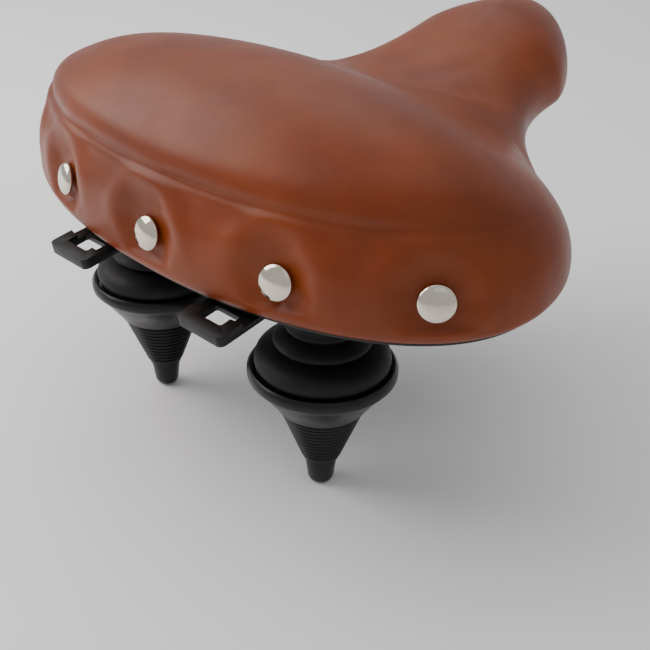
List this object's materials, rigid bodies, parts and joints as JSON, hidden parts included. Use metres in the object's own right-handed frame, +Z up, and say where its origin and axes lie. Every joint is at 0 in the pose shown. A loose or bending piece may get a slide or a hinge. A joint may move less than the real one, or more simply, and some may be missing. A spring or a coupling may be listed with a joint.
{
  "type": "bicycle saddle",
  "caption": "Wide sprung bicycle saddle: padded brown riveted cover, rubber-booted springs in ribbed cones, twin rails and a seatpost clamp.",
  "frame": {"origin": "centre of the seatpost bore in the clamp", "axes": "+X to the rider's right, +Y towards the nose, +Z up along the seatpost"},
  "size_m": [0.265, 0.268, 0.1669],
  "materials": {
    "clamp_steel": "satin black powder coat on forged steel",
    "jaw_steel": "satin black oxide steel",
    "zinc": "bright zinc plate",
    "rail_paint": "glossy black paint on steel rod and plate",
    "cone_plastic": "moulded black plastic, semi-gloss",
    "spring_steel": "oiled spring steel",
    "boot_rubber": "matte black rubber",
    "base_plastic": "moulded black polypropylene",
    "foam": "open-cell polyurethane foam",
    "cover_leather": "smooth semi-gloss brown faux leather",
    "trim_plastic": "black extruded edge trim",
    "nickel": "polished nickel with a warm tint",
    "loop_plastic": "moulded black nylon",
    "nylon": "white nylon"
  },
  "bodies": {
    "clamp": {"clamp_barrel": "clamp_steel"},
    "jaws": {"clamp_bolt": "zinc", "clamp_nuts": "zinc", "clamp_washers": "zinc", "inner_jaw_left": "jaw_steel", "inner_jaw_right": "jaw_steel", "outer_jaw_left": "jaw_steel", "outer_jaw_right": "jaw_steel"},
    "rails": {"rail_left": "rail_paint", "rail_right": "rail_paint", "nose_sleeve": "rail_paint", "spring_plate_left": "rail_paint", "spring_plate_right": "rail_paint", "cone_left": "cone_plastic", "cone_right": "cone_plastic", "spring_left": "spring_steel", "spring_right": "spring_steel", "bellows_left": "boot_rubber", "bellows_right": "boot_rubber"},
    "seat": {"base": "base_plastic", "pad": "foam", "cover": "cover_leather", "hem_trim": "trim_plastic", "rivets": "nickel", "rivet_washers": "zinc", "loop_left": "loop_plastic", "loop_right": "loop_plastic", "loop_screws": "zinc", "seat_plate_left": "rail_paint", "seat_plate_right": "rail_paint", "bump_stop_left": "boot_rubber", "bump_stop_right": "boot_rubber", "guide_bolts": "zinc", "rebound_stops": "boot_rubber", "guide_nuts": "zinc", "nose_bracket": "rail_paint", "bracket_screws": "zinc", "pivot_bolt": "zinc", "pivot_nut": "zinc", "pivot_washers": "nylon"}
  },
  "joints": [
    {"name": "tilt", "type": "hinge", "parent": "clamp", "child": "jaws", "pos_m": [0, 0.023, 0.0055], "axis": [1, 0, 0], "range_deg": [-15, 15]},
    {"name": "fore_aft", "type": "slide", "parent": "jaws", "child": "rails", "axis": [0, 1, 0], "range_m": [-0.015, 0.015]},
    {"name": "suspension", "type": "hinge", "parent": "rails", "child": "seat", "pos_m": [0, 0.107, 0.056], "axis": [1, 0, 0], "range_deg": [0, 3.5], "stiffness_Nm_per_rad": 900, "deforming": ["spring_left", "spring_right", "bellows_left", "bellows_right"]}
  ]
}
